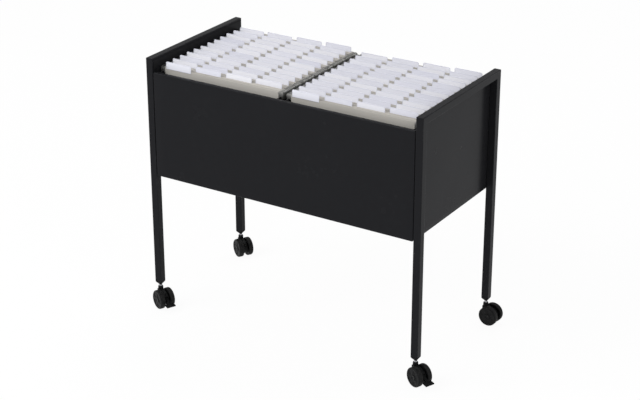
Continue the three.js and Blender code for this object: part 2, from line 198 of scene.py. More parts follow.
def skin(rings, finish=0, mark=0.0, end_finish=None):
    """Closed skin over closed rings (rows x columns x 3), with a flat cap on the first and on the last."""
    rows, columns = rings.shape[:2]
    cap = np.arange(columns)[None, :]
    faces = [quads(rows, columns, True), cap[:, ::-1], cap + (rows - 1) * columns]
    finishes = [finish, finish, finish if end_finish is None else end_finish]
    return Part(rings.reshape(-1, 3), faces, finishes, np.broadcast_to(mark, (rows, columns)).ravel())


def swept(section, origins, across, up):
    """Rings of a section along a path: point s of ring k is at o_k + s_1 a_k + s_2 u_k."""
    section, origins, across, up = (np.asarray(values, float) for values in (section, origins, across, up))
    return origins[:, None] + section[None, :, :1] * across[:, None] + section[None, :, 1:] * up[:, None]


def full_turn(sides):
    """Angles round a closed ring, in even steps from 0."""
    return np.linspace(0, 2 * np.pi, sides, endpoint=False)


def arc(middle, radius, start, stop, steps):
    """Points middle + radius (cos a, sin a), a in degrees from start to stop."""
    angle = np.radians(np.linspace(start, stop, steps))
    return np.asarray(middle) + radius * np.stack([np.cos(angle), np.sin(angle)], 1)


def make_piece(name, parts, finishes, body, nodes=()):
    """One object of closed parts with outward faces, riding on a body in the place of CAD nodes."""
    starts = np.cumsum([0] + [len(part.points) for part in parts[:-1]])
    faces = [face for part, start in zip(parts, starts) for group in part.faces
             for face in (group + start).tolist()]
    numbers = [np.full(len(group), finish) for part in parts
               for group, finish in zip(part.faces, part.finishes)]
    mesh = bpy.data.meshes.new(name)
    mesh.from_pydata(np.vstack([part.points for part in parts]).tolist(), [], faces)
    mesh.polygons.foreach_set("material_index", np.concatenate(numbers).astype(np.int32))
    mark = mesh.attributes.new("mark", "FLOAT", "POINT")
    mark.data.foreach_set("value", np.concatenate([part.mark for part in parts]).astype(np.float32))
    shells = bmesh.new()
    shells.from_mesh(mesh)
    bmesh.ops.remove_doubles(shells, verts=shells.verts, dist=SAME_POINT)
    bmesh.ops.recalc_face_normals(shells, faces=shells.faces)
    shells.to_mesh(mesh)
    shells.free()
    for finish in finishes:
        mesh.materials.append(finish)
    mesh.shade_smooth()
    mesh.set_sharp_from_angle(angle=SHARP_EDGE)
    piece = bpy.data.objects.new(name, mesh)
    bpy.context.collection.objects.link(piece)
    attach(piece, body)
    if nodes:
        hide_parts(*nodes)
    return piece


def make_steelwork(name, parts, node):
    """A painted piece of the cart, in the place of its CAD node."""
    make_piece(name, parts, [black_paint], "cart", [node])


def square_section(half, edge, shoulder):
    """Section of a square bar: an arc of radius edge in each corner, between two points on the flats. The
    second result is 1 on the corners and 0 on the flats."""
    middle = half - edge
    flat = middle - shoulder
    corner = np.vstack([[half, flat], arc((middle, middle), edge, 0, 90, ARC_STEPS), [flat, half]])
    turns = np.array([[[1, 0], [0, 1]], [[0, 1], [-1, 0]], [[-1, 0], [0, -1]], [[0, -1], [1, 0]]])
    section = np.concatenate([corner @ turn for turn in turns])
    return section, np.tile(np.r_[0, np.ones(ARC_STEPS), 0], 4)


def arch_tube(low, high):
    """U of square tube between two corners of a box: straight legs, and mitres where the section leans by
    45 degrees and is sqrt(2) wider."""
    section, edge = square_section(TUBE / 2, TUBE_EDGE, EDGE_SHOULDER)
    middle, leg, top = (low.x + high.x) / 2, high.y - TUBE / 2, high.z - TUBE / 2
    origins = [(middle, -leg, low.z), (middle, -leg, top), (middle, leg, top), (middle, leg, low.z)]
    up = [(0, -1, 0), (0, -1, 1), (0, 1, 1), (0, 1, 0)]
    return skin(swept(section, origins, [(1, 0, 0)] * 4, up), mark=edge)


def weld_bead(low, high, end):
    """Round bead across the inner corner of a U: radius r (1 + s sin(k x)) along X."""
    inside = TUBE - TUBE_EDGE
    x = np.linspace(low.x + TUBE_EDGE, high.x - TUBE_EDGE, 4 * WELD_RIPPLES)
    ripple = np.sin(np.linspace(0, 2 * np.pi * WELD_RIPPLES, len(x)))
    radius = WELD_RADIUS * (1 + WELD_SWELL * ripple)
    turn = full_turn(WELD_SIDES)
    y = end * (high.y - inside) + radius[:, None] * np.cos(turn)
    z = high.z - inside + radius[:, None] * np.sin(turn)
    return skin(np.stack([np.broadcast_to(x[:, None], y.shape), y, z], -1))


black_paint = powder_coat()
for side in ("left", "right"):
    low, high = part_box(f"{side}_side_frame")
    welds = [weld_bead(low, high, end) for end in (-1, 1)]
    make_steelwork(f"{side}_tube_frame", [arch_tube(low, high)] + welds, f"{side}_side_frame")

# Front and rear panels: sheet-steel pans, folded back at the top and bottom edges and at the ends, where
# they are screwed to the legs through the side panels. The corners of the folds are left open.
SHEET = 1.0 * MM
PANEL_BEND = 1.8 * MM
PAST_BEND = 1.01 * PANEL_BEND   # a depth beyond every point of a bend
PANEL_RETURN = 9 * MM
END_FLANGE = 12 * MM
PANEL_CELLS = 24
OIL_CAN = 0.12 * MM         # depth of the slight waves of a thin flat sheet
NEAR_NOTHING = 1e-12


def thick_sheet(face, thickness, finish=0, mark=0.0, keep=None):
    """Closed sheet on a surface (rows x columns x 3): its other side lies the thickness away along
    dface/drow x dface/dcolumn. keep says which quads stay, all of them if it is None."""
    rows, columns = face.shape[:2]
    away = np.cross(np.gradient(face, axis=0), np.gradient(face, axis=1))
    away /= np.maximum(np.linalg.norm(away, axis=-1, keepdims=True), NEAR_NOTHING)
    points = np.concatenate([face, face + thickness * away]).reshape(-1, 3)
    count = rows * columns
    cells = quads(rows, columns)
    if keep is not None:
        cells = cells[keep.ravel()]
    first = cells.ravel()
    second = np.roll(cells, -1, axis=1).ravel()
    rim = ~np.isin(first * count + second, second * count + first)
    wall = np.stack([second[rim], first[rim], first[rim] + count, second[rim] + count], 1)
    faces = np.concatenate([cells, cells[:, ::-1] + count, wall])
    used, faces = np.unique(faces, return_inverse=True)
    marks = np.tile(np.broadcast_to(mark, (rows, columns)).ravel(), 2)
    return Part(points[used], [faces.reshape(-1, 4)], [finish], marks[used])


def fold_line(low, high, low_return, high_return):
    """Places across a sheet from low to high, and the depth at each. An end with a return turns back by a
    quarter circle and goes straight on to the return."""
    low_bend, high_bend = PANEL_BEND * bool(low_return), PANEL_BEND * bool(high_return)
    flat = np.linspace(low + low_bend, high - high_bend, PANEL_CELLS + 1)
    line = [np.c_[flat, np.zeros(len(flat))]]
    if low_return:
        bend = arc((low + PANEL_BEND, PANEL_BEND), PANEL_BEND, 180, 270, ARC_STEPS + 1)
        line.insert(0, np.vstack([[low, low_return], bend[:-1]]))
    if high_return:
        bend = arc((high - PANEL_BEND, PANEL_BEND), PANEL_BEND, 270, 360, ARC_STEPS + 1)
        line.append(np.vstack([bend[1:], [high, high_return]]))
    return np.vstack(line).T


def folded_pan(across, upright, phase):
    """Pan over two fold lines: the depth behind the face is the sum of both lines' depths plus slight waves
    w sin(4 pi u + p) sin(3 pi v + 2 p) on the flat part, and the quads folded both ways are left out.
    Gives the places along both lines, the depth, the quads to keep and the rubbed edges."""
    (u, deep_u), (v, deep_v) = across, upright
    u, v = np.broadcast_arrays(u[None, :], v[:, None])
    depth = deep_u[None, :] + deep_v[:, None]
    span_u, span_v = (u - u.min()) / np.ptp(u), (v - v.min()) / np.ptp(v)
    inside = np.sin(np.pi * span_u) * np.sin(np.pi * span_v) * (depth == 0)
    wave = OIL_CAN * inside * np.sin(4 * np.pi * span_u + phase) * np.sin(3 * np.pi * span_v + 2 * phase)
    both = (deep_u[None, :] > 0) & (deep_v[:, None] > 0)
    keep = ~(both[:-1, :-1] | both[1:, :-1] | both[:-1, 1:] | both[1:, 1:])
    edge = ((depth > 0) & (depth <= PAST_BEND)).astype(float)
    return u, v, depth + wave, keep, edge


for end, turn in (("front", 1), ("rear", -1)):
    low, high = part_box(f"{end}_panel")
    outside = -max(-low.y, high.y)
    across = fold_line(low.x, high.x, END_FLANGE, END_FLANGE)
    upright = fold_line(low.z, high.z, PANEL_RETURN, PANEL_RETURN)
    u, v, depth, keep, edge = folded_pan(across, upright, turn)
    face = np.stack([turn * u, turn * (outside + depth), v], -1)
    make_steelwork(f"{end}_sheet_panel", [thick_sheet(face, SHEET, mark=edge, keep=keep)], f"{end}_panel")

# Side panels: flat sheets screwed to the inner faces of the tubes, so that the frame stands proud of them,
# with the lower edge folded inwards.
for side, turn in (("left", -1), ("right", 1)):
    low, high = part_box(f"{side}_side_panel")
    outside = max(-low.x, high.x)
    across = fold_line(low.y, high.y, 0, 0)
    upright = fold_line(low.z, high.z, PANEL_RETURN, 0)
    u, v, depth, keep, edge = folded_pan(across, upright, 3 * turn)
    end_room = (depth > PAST_BEND) * END_FLANGE
    u = np.clip(u, low.y + end_room, high.y - end_room)
    face = np.stack([turn * (outside - depth), turn * u, v], -1)
    sheet = thick_sheet(face, SHEET, mark=edge, keep=keep)
    make_steelwork(f"{side}_sheet_panel", [sheet], f"{side}_side_panel")

# Hanging rails: channels folded from thicker sheet. The hooks ride on their lips, which shine from wear.
# The side rails lie on the side panels, and the centre rail has a tab at each end on the panels.
RAIL_SHEET = 1.2 * MM
RAIL_BEND = 2 * MM
RAIL_TAB = 20 * MM
RAIL_STATIONS = 25
WORN_LIP = 0.5 * MM


def channel_line(left, left_top, right, right_top, bottom):
    """U of a folded channel: down the left side, round two quarter circles and up the right side."""
    bend_left = arc((left + RAIL_BEND, bottom + RAIL_BEND), RAIL_BEND, 180, 270, ARC_STEPS)
    bend_right = arc((right - RAIL_BEND, bottom + RAIL_BEND), RAIL_BEND, 270, 360, ARC_STEPS)
    share = np.linspace(0, 1, 4)[:, None]
    down = (left, left_top) + (bend_left[0] - (left, left_top)) * share
    rise = bend_right[-1] + ((right, right_top) - bend_right[-1]) * share
    return np.vstack([down[:-1], bend_left, bend_right, rise[1:]])


def channel(line, low_y, high_y, lip_top):
    """Channel along Y on its outer line. The marks are 1 along the lips on which the hooks slide."""
    y = np.linspace(low_y, high_y, RAIL_STATIONS)
    face = np.empty((len(line), len(y), 3))
    face[..., 0], face[..., 1], face[..., 2] = line[:, :1], y, line[:, 1:]
    lips = (abs(line[:, 1:] - lip_top) < WORN_LIP).astype(float)
    return thick_sheet(face, RAIL_SHEET, mark=lips)


low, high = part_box("centre_rail")
lip_top = high.z
line = channel_line(low.x, lip_top, high.x, lip_top, low.z + RAIL_TAB)
tabs = []
for end in (low.y, high.y - RAIL_SHEET):
    corners = np.array([[-1, -1], [1, -1], [1, 1], [-1, 1]]) * RAIL_TAB / 2
    ring = np.c_[corners[:, 0], np.zeros(4), corners[:, 1] + low.z + RAIL_TAB / 2 + RAIL_SHEET / 2]
    tabs.append(skin(np.stack([ring + (0, end, 0), ring + (0, end + RAIL_SHEET, 0)])))
make_steelwork("centre_channel", [channel(line, low.y, high.y, lip_top)] + tabs, "centre_rail")
for side in ("left", "right"):
    low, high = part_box(f"{side}_rail")
    tops = (high.z, lip_top) if side == "left" else (lip_top, high.z)
    line = channel_line(low.x, tops[0], high.x, tops[1], low.z)
    make_steelwork(f"{side}_channel", [channel(line, low.y, high.y, lip_top)], f"{side}_rail")

# Case screws: zinc-plated button heads with a hexagon socket, three in each end flange of the front and
# rear panels and one in each tab of the centre rail. All of them are inside the case.
SCREW_RADIUS = 3.6 * MM
SCREW_HEIGHT = 2 * MM
SCREW_DOME = radians(64.8)
SOCKET_RADIUS = 1.45 * MM
SOCKET_DEPTH = 1.1 * MM
SCREW_SIDES = 24
FLANGE_SCREWS = 3
LOWEST_SCREW = 34 * MM      # above the lower edge of the panel
HIGHEST_SCREW = 52 * MM     # below the upper edge of the panel
FLANGE_LINE = 0.6 * END_FLANGE
TAB_LINE = 0.45 * RAIL_TAB
TURNING_DEPTH = 0.01 * MM
ZINC = (0.46, 0.46, 0.48, 1)
ZINC_DULL = (0.30, 0.30, 0.31, 1)


def plated_steel(name, bright, dull):
    """Plated steel with turning lines, dull clouds and small stains."""
    material, start = blank_material(name)
    cloud = noise(object_place(start), 120, 3)
    lines = noise(object_place(start, (1, 1, 14)), 300, 2)
    stain = step_up(noise(object_place(start), 420, 4), 0.52, 0.75)
    return surface(material, start, {
        "Base Color": blend(stain * 0.4 + cloud * 0.4, bright, dull),
        "Metallic": 1 - stain * 0.1,
        "Roughness": 0.26 + cloud * 0.16 + stain * 0.08,
        "Normal": bumped(lines, TURNING_DEPTH),
    })


def button_screw(seat, way):
    """Screw head on a seat, along an axis: rings of radius R cos a at height h sin a, then a hexagon
    r cos 30 / cos(t mod 60 - 30) down to the bottom of the socket."""
    turn = full_turn(SCREW_SIDES)
    angle = np.linspace(0, SCREW_DOME, ARC_STEPS)[:, None]
    dome = SCREW_RADIUS * np.cos(angle) * np.ones(SCREW_SIDES)
    rise = SCREW_HEIGHT * np.sin(angle) * np.ones(SCREW_SIDES)
    hexagon = SOCKET_RADIUS * cos(radians(30)) / np.cos(turn % radians(60) - radians(30))
    radius = np.vstack([dome, hexagon, hexagon])
    height = np.vstack([rise, rise[-1], rise[-1] - SOCKET_DEPTH])
    way = np.asarray(way, float)
    side = np.array([0, 0, 1.0])
    third = np.cross(way, side)
    ring = radius[..., None] * (np.cos(turn)[:, None] * side + np.sin(turn)[:, None] * third)
    return skin(seat + ring + height[..., None] * way)


zinc = plated_steel("zinc_steel", ZINC, ZINC_DULL)
low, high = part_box("front_panel")
screws = []
for x, way in ((high.x - SHEET, -1), (low.x + SHEET, 1)):
    for y in (low.y + FLANGE_LINE, -low.y - FLANGE_LINE):
        for z in np.linspace(low.z + LOWEST_SCREW, high.z - HIGHEST_SCREW, FLANGE_SCREWS):
            screws.append(button_screw((x, y, z), (way, 0, 0)))
low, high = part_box("centre_rail")
for y, way in ((low.y + RAIL_SHEET, 1), (high.y - RAIL_SHEET, -1)):
    screws.append(button_screw((0, y, low.z + TAB_LINE), (0, way, 0)))
make_piece("case_screws", screws, [zinc], "cart")

# Leg plugs: moulded plastic ends that are pushed into the tubes. Under a square flange they taper to a
# round tip that holds the stem of the caster.
PLUG_FLANGE = 2.2 * MM
PLUG_TIP = 4.75 * MM
TIP_INSET = 0.6 * MM
TIP_RISE = 0.5 * MM
FLANGE_INSET = 0.4 * MM
FLANGE_DROP = 0.3 * MM
SHANK_INSET = 1.8 * MM
SEAT_GAP = 0.25 * MM
ROUND = 2                   # power of a superellipse that is a circle
SQUARE = 14                 # power of one that is nearly a square
TAPER_POWER = 1.6           # how late the taper turns from round to square
PLUG_SIDES = 48
GRAIN_DEPTH = 0.04 * MM
NYLON_GLOSS = 0.1
PLASTIC = (0.0050, 0.0053, 0.0058, 1)
PLASTIC_SCUFF = (0.024, 0.024, 0.026, 1)
CORNERS = ("front_left", "front_right", "rear_left", "rear_right")


def moulded_plastic():
    """Black nylon with a fine spark-eroded grain, cloudy gloss and pale scuffs."""
    material, start = blank_material("black_nylon")
    place = object_place(start)
    cloud = noise(place, 40, 3)
    scuff = step_up(noise(object_place(start, (1, 1, 3)), 240, 5), 0.6, 0.78)
    dust = step_up(noise(place, 90, 4), 0.45, 0.8) * 0.02
    return surface(material, start, {
        "Base Color": blend(dust, blend(scuff * 0.5, PLASTIC, PLASTIC_SCUFF), DUST),
        "Roughness": 0.38 + cloud * 0.16 + scuff * 0.1,
        "Specular IOR Level": NYLON_GLOSS,
        "Normal": bumped(noise(place, 2600, 2), GRAIN_DEPTH),
    })


def superellipse(half, power, height):
    """Ring |x / half|^power + |y / half|^power = 1 at a height."""
    turn = full_turn(PLUG_SIDES) + np.pi / PLUG_SIDES
    side = np.stack([np.cos(turn), np.sin(turn)], 1)
    radius = half / (np.abs(side) ** power).sum(1) ** (1 / power)
    return np.c_[radius[:, None] * side, np.full(PLUG_SIDES, height)]


def leg_plug(low, high, seat):
    """Rings from the tip to the flange: the half width goes up evenly while the ring turns from round to
    square, and above the seat a square shank goes into the tube."""
    half, foot = TUBE / 2, low.z + TIP_RISE
    tip = superellipse(PLUG_TIP - TIP_INSET, ROUND, low.z)
    taper = [superellipse(PLUG_TIP + (half - PLUG_TIP) * share,
                          ROUND + (SQUARE - ROUND) * share ** TAPER_POWER,
                          foot + (seat - PLUG_FLANGE - foot) * share) for share in np.linspace(0, 1, 9)]
    flange = [superellipse(half, SQUARE, seat - FLANGE_DROP),
              superellipse(half - FLANGE_INSET, SQUARE, seat)]
    shank = [superellipse(half - SHANK_INSET, SQUARE, z) for z in (seat, high.z)]
    rings = np.stack([tip] + taper + flange + shank)
    return skin(rings + ((low.x + high.x) / 2, (low.y + high.y) / 2, 0))


nylon = moulded_plastic()
leg_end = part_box("left_side_frame")[0].z
for corner in CORNERS:
    low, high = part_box(f"{corner}_leg_plug")
    plug = leg_plug(low, high, leg_end - SEAT_GAP)
    make_piece(f"{corner}_plug", [plug], [nylon], "cart", [f"{corner}_leg_plug"])

# Caster stems: turned steel pins that stay in the leg plugs. A short bare neck with a groove for the snap
# ring shows between the plug and the caster. The axles keep their plain solids, in the same steel.
STEM_SIDES = 32
STEM_CHAMFER = 0.6 * MM
GROOVE_DEPTH = 0.5 * MM


def spun_upright(middle, radius, z, sides):
    """Skin of a profile spun round an upright axis: rings (r cos t, r sin t, z) about the middle."""
    turn = full_turn(sides)
    x = middle[0] + radius[:, None] * np.cos(turn)
    y = middle[1] + radius[:, None] * np.sin(turn)
    return skin(np.stack([x, y, np.broadcast_to(z[:, None], x.shape)], -1))


def turned_pin(low, high, neck_low, neck_high):
    """Round pin: radius r with chamfered ends, and r - g sin^2 between the two ends of the neck."""
    radius = (high.x - low.x) / 2
    share = np.linspace(0, 1, 9)
    neck_z = neck_low + (neck_high - neck_low) * share
    neck_radius = radius - GROOVE_DEPTH * np.sin(np.pi * share) ** 2
    z = np.r_[low.z, low.z + STEM_CHAMFER, neck_z, high.z - STEM_CHAMFER, high.z]
    size = np.r_[radius - STEM_CHAMFER, radius, neck_radius, radius, radius - STEM_CHAMFER]
    return spun_upright((low + high) / 2, size, z, STEM_SIDES)


for corner in CORNERS:
    low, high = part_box(f"{corner}_caster_stem")
    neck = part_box(f"{corner}_caster_body")[1].z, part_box(f"{corner}_leg_plug")[0].z
    make_piece(f"{corner}_stem", [turned_pin(low, high, *neck)], [zinc], "cart",
               [f"{corner}_caster_stem"])
    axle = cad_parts[f"{corner}_axle"]
    axle.data.materials.clear()
    axle.data.materials.append(zinc)

# Caster bodies: one nylon moulding each, a web between the wheels with a conical swivel boss. On the braked
# casters the web is split behind the axle for the neck of the lever.
WHEEL_RADIUS = 24 * MM
TRAIL = 15 * MM
WEB_HALF = 6.5 * MM
WEB_RADIUS = 17 * MM
WEB_EDGE = 0.8 * MM
BOSS_TAPER = 4 * MM
BOSS_CONE = 5.75 * MM
BOSS_TIP = 5.2 * MM
BOSS_ROUND = 0.7 * MM
SLOT_HALF = 4.1 * MM
CHEEK_EDGE = 0.5 * MM
CORE_INSET = 0.2 * MM
CORE_EDGE = 0.3 * MM
PIVOT_OUT = 12.5 * MM
PIVOT_UP = 4 * MM
PIVOT_HUB = 4 * MM
ROUND_SIDES = 40
WEB_CELL = 0.55 * MM
BRAKED = ("front_left", "front_right")


def inset_lines(outline, inset):
    """The outline set inwards by each inset, square to the line between the two neighbours of a point."""
    way = np.roll(outline, -1, 0) - np.roll(outline, 1, 0)
    inward = np.c_[-way[:, 1], way[:, 0]] / np.linalg.norm(way, axis=1, keepdims=True)
    return outline[None] + inset[:, None, None] * inward[None]


def moulded(outline, half, edge):
    """Plate across Y on an outline in X and Z, its rims rounded off: the inset goes from edge to 0 as
    edge (1 - sin a) while y goes from -half + edge (1 - cos a)."""
    angle = np.linspace(0, np.pi / 2, 3)
    inset = np.r_[edge * (1 - np.sin(angle)), edge * (1 - np.sin(angle[::-1]))]
    y = np.r_[-half + edge * (1 - np.cos(angle)), half - edge * (1 - np.cos(angle[::-1]))]
    line = inset_lines(outline, inset)
    return skin(np.stack([line[..., 0], np.broadcast_to(y[:, None], line.shape[:2]), line[..., 1]], -1))


def moved(part, way):
    """The part moved by a vector."""
    return part._replace(points=part.points + way)


def in_caster(corner, part):
    """A part from a caster's own frame, where the stem is the vertical axis and +X is behind it."""
    stem_low, stem_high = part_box(f"{corner}_caster_stem")
    axle_low, axle_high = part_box(f"{corner}_axle")
    stem, axle = (stem_low + stem_high) / 2, (axle_low + axle_high) / 2
    trail = atan2(axle.y - stem.y, axle.x - stem.x)
    turn = np.array([[cos(trail), sin(trail), 0], [-sin(trail), cos(trail), 0], [0, 0, 1]])
    return part._replace(points=part.points @ turn + (stem.x, stem.y, 0))


def web_line():
    """Outline of the web: round behind the axle, straight up to the boss and curved under it."""
    shoulder = 2 * WHEEL_RADIUS - BOSS_TAPER
    back = arc((TRAIL, WHEEL_RADIUS), WEB_RADIUS, -90, 75, 16)
    boss = np.array([[WEB_HALF, shoulder], [-WEB_HALF, shoulder], [-WEB_HALF, WHEEL_RADIUS]])
    share = np.linspace(0, 1, 8)[1:-1, None]
    corner = np.array([-WEB_HALF, WHEEL_RADIUS - WEB_RADIUS])
    under = (1 - share) ** 2 * boss[-1] + 2 * share * (1 - share) * corner + share ** 2 * back[0]
    return np.vstack([back, boss, under])


def split_web(web):
    """Plates of a braked web: a core that stops short of the lever, between two full cheeks."""
    slot_start = TRAIL + PIVOT_OUT - PIVOT_HUB
    below = web[:, 1] < WHEEL_RADIUS + PIVOT_UP + PIVOT_HUB
    core = np.c_[np.where(below, np.minimum(web[:, 0], slot_start), web[:, 0]), web[:, 1]]
    cheek_half = (WEB_HALF - SLOT_HALF) / 2
    cheek = moulded(web, cheek_half, CHEEK_EDGE)
    cheeks = [moved(cheek, (0, way * (WEB_HALF - cheek_half), 0)) for way in (-1, 1)]
    return [moulded(core, WEB_HALF - CORE_INSET, CORE_EDGE)] + cheeks


def caster_boss(top):
    """Boss round the stem: straight up to the taper, then a cone with a rounded tip."""
    z = np.r_[WHEEL_RADIUS, top - BOSS_TAPER, top - BOSS_ROUND, top]
    radius = np.r_[WEB_HALF, WEB_HALF, BOSS_CONE, BOSS_TIP]
    return spun_upright((0, 0), radius, z, ROUND_SIDES)


def soft_moulding(piece, cell):
    """Joins the parts of a moulding and rounds the corners between them."""
    join = piece.modifiers.new("join", "REMESH")
    join.mode = "VOXEL"
    join.voxel_size = cell
    join.use_smooth_shade = True
    soften = piece.modifiers.new("soften", "SMOOTH")
    soften.factor = 0.5
    soften.iterations = 4


for corner in CORNERS:
    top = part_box(f"{corner}_caster_body")[1].z
    plates = split_web(web_line()) if corner in BRAKED else [moulded(web_line(), WEB_HALF, WEB_EDGE)]
    parts = [in_caster(corner, part) for part in plates + [caster_boss(top)]]
    body = make_piece(f"{corner}_fork", parts, [nylon], f"{corner}_caster",
                      [f"{corner}_caster_body"])
    soft_moulding(body, WEB_CELL)

# Wheels: nylon mouldings with a crowned tread, five shallow pockets in the outer face and a hub cap. The
# bore is blind, so the end of the axle stays hidden. Dust gathers on the tread and in the pockets.
WHEEL_WIDTH = 13 * MM
RUNNING_GAP = 0.7 * MM
BORE = 3.25 * MM
BORE_END = 9.75 * MM
BORE_CHAMFER = 0.4 * MM
HUB = 7 * MM
DIMPLE = 3.4 * MM
RIM = 19.6 * MM
DISH = 2 * MM               # depth of the hollow behind the wheel
DISH_SLOPE = 0.6 * MM
FACE_SET = 1.5 * MM         # depth of the outer face behind the hub cap
FACE_RIM_GAP = 0.6 * MM
FACE_HUB_GAP = 0.8 * MM
TREAD_ROUND = 3.2 * MM
TREAD_SET = 0.7 * MM        # depth of the tread behind the hub cap
TREAD_BACK = ((-1.2, 0), (-0.3, 0.4), (0, 1.3))     # from a corner: radius and along, in millimetres
RIM_STEP = ((0.4, -0.6), (0, -0.8))
HUB_CAP = ((0.3, -1.2), (0, -0.4), (-0.4, 0))
DIMPLE_STEP = ((0, 0), (-0.4, -0.3))
ROLLING_BAND = 1.2 * MM
POCKETS = 5
POCKET_DEPTH = 0.9 * MM
WHEEL_SIDES = 80
TREAD = (0.0055, 0.0058, 0.0063, 1)
TREAD_DUST = (0.036, 0.035, 0.034, 1)


def wheel_nylon():
    """Dark grey nylon: dusty where it rolls and in the hollows, which carry the mark."""
    material, start = blank_material("wheel_nylon")
    place = object_place(start)
    grime = step_up(noise(place, 170, 5) + marked(start) * 0.35, 0.55, 1.0)
    return surface(material, start, {
        "Base Color": blend(grime * 0.35, TREAD, TREAD_DUST),
        "Roughness": 0.4 + grime * 0.3,
        "Specular IOR Level": NYLON_GLOSS,
        "Normal": bumped(noise(place, 2200, 2), GRAIN_DEPTH),
    })


def edge_points(radius, along, steps):
    """Points at steps of millimetres from a corner of the profile."""
    return np.array([radius, along]) + np.array(steps) * MM


def wheel_profile():
    """Half section of a wheel as radius and place along the axle: out of the bore, over the dished back,
    round the tread, and in over the rim, the outer face and the hub cap with its dimple."""
    tread_middle = WHEEL_RADIUS - TREAD_ROUND, WHEEL_WIDTH - TREAD_ROUND - TREAD_SET
    face = np.linspace(RIM - FACE_RIM_GAP, HUB + FACE_HUB_GAP, 15)
    return np.vstack([
        [[BORE, BORE_END], [BORE, BORE_CHAMFER], [BORE + BORE_CHAMFER, 0]],
        [[HUB, 0], [HUB, DISH], [RIM, DISH], [RIM + DISH_SLOPE, 0]],
        edge_points(WHEEL_RADIUS, 0, TREAD_BACK),
        arc(tread_middle, TREAD_ROUND, 0, 78, 8),
        edge_points(RIM, WHEEL_WIDTH, RIM_STEP),
        np.c_[face, np.full(len(face), WHEEL_WIDTH - FACE_SET)],
        edge_points(HUB, WHEEL_WIDTH, HUB_CAP),
        edge_points(DIMPLE, WHEEL_WIDTH, DIMPLE_STEP),
    ])


def wheel_shape(side):
    """Spun profile (radius, along the axle), with POCKETS hollows of depth d w(r) c(t) in the outer face,
    where w is a hump over the radius and c is a rounded square wave round the axle."""
    profile = wheel_profile()
    turn = full_turn(WHEEL_SIDES)
    radius, along = profile[:, :1], profile[:, 1:]
    share = np.clip((radius - HUB) / (RIM - HUB), 0, 1)
    over = np.clip(1.6 * np.sin(np.pi * share) - 0.35, 0, 1) * (along > WHEEL_WIDTH / 2)
    round_wave = np.clip(0.5 + 1.6 * np.cos(POCKETS * turn), 0, 1)
    hollow = over * round_wave * (3 - 2 * round_wave) * round_wave
    x = TRAIL + radius * np.cos(turn)
    z = WHEEL_RADIUS + radius * np.sin(turn)
    y = side * (WEB_HALF + RUNNING_GAP + along - POCKET_DEPTH * hollow)
    rolls = np.exp(-((radius - WHEEL_RADIUS) / ROLLING_BAND) ** 2)
    return skin(np.stack([x, y, z], -1), mark=np.maximum(rolls, 0.7 * hollow))


rolling_nylon = wheel_nylon()
for corner in CORNERS:
    for number, side in ((1, -1), (2, 1)):
        node = f"{corner}_wheel_{number}"
        wheel = in_caster(corner, wheel_shape(side))
        make_piece(f"{node}_tread", [wheel], [rolling_nylon], node, [node])

# Brake levers: nylon pedals behind the wheels of the front casters, with grip ribs across the top. The
# neck goes into the slot of the caster and turns there on a cross pin.
LEVER_HALF = 12 * MM
LEVER_EDGE = 1 * MM
LEVER_REACH = 40 * MM
LEVER_THICK = 3.6 * MM
NOSE_RADIUS = 2 * MM
NECK_HALF = 3.7 * MM
NECK_EDGE = 0.6 * MM
NECK_LAP = 3 * MM           # length of the neck inside the pedal
NECK_DROP = 0.4 * MM
PEDAL_GAP = 3 * MM
PIVOT_RADIUS = 1.8 * MM
PIN_INSET = 0.1 * MM
PIN_EDGE = 0.3 * MM
GRIP_RIBS = 4
RIB_SPAN = (0.2, 0.86)      # shares of the length of the pedal
RIB_HALF = 0.7 * MM
RIB_HEIGHT = 0.7 * MM
RIB_INSET = 2.5 * MM
RIB_EDGE = 0.2 * MM
PEDAL_CELL = 0.45 * MM


def lever_parts():
    """Neck, rounded pedal, grip ribs and cross pin, in the caster's own frame."""
    pivot = np.array([TRAIL + PIVOT_OUT, WHEEL_RADIUS + PIVOT_UP])
    start, tip = TRAIL + WHEEL_RADIUS + PEDAL_GAP, TRAIL + LEVER_REACH
    pedal_top = WHEEL_RADIUS - PIVOT_UP
    under = pedal_top - LEVER_THICK
    lap = start + NECK_LAP
    hub = arc(pivot, 2 * PIVOT_RADIUS, 60, 250, 9)
    neck = np.vstack([hub, [[start, under], [lap, under], [lap, pedal_top - NECK_DROP]]])
    nose = arc((tip - NOSE_RADIUS, under), NOSE_RADIUS, -100, 60, 7)
    pedal = np.vstack([[[start, pedal_top], [start, under]], nose])
    parts = [moulded(neck, NECK_HALF, NECK_EDGE), moulded(pedal, LEVER_HALF, LEVER_EDGE)]
    top = pedal[-1] - pedal[0]
    slope = top / np.linalg.norm(top)
    rib = np.array([[-1, -1], [1, -1], [0.6, 1], [-0.6, 1]]) @ np.array([
        RIB_HALF * slope, RIB_HEIGHT * np.array([-slope[1], slope[0]])])
    for share in np.linspace(*RIB_SPAN, GRIP_RIBS):
        parts.append(moulded(pedal[0] + share * top + rib, LEVER_HALF - RIB_INSET, RIB_EDGE))
    pin = arc(pivot, PIVOT_RADIUS, 0, 345, 24)
    return parts + [moulded(pin, WEB_HALF - PIN_INSET, PIN_EDGE)]


for corner in BRAKED:
    node = f"{corner}_brake_lever"
    parts = [in_caster(corner, part) for part in lever_parts()]
    lever = make_piece(f"{corner}_pedal", parts, [nylon], node, [node])
    soft_moulding(lever, PEDAL_CELL)

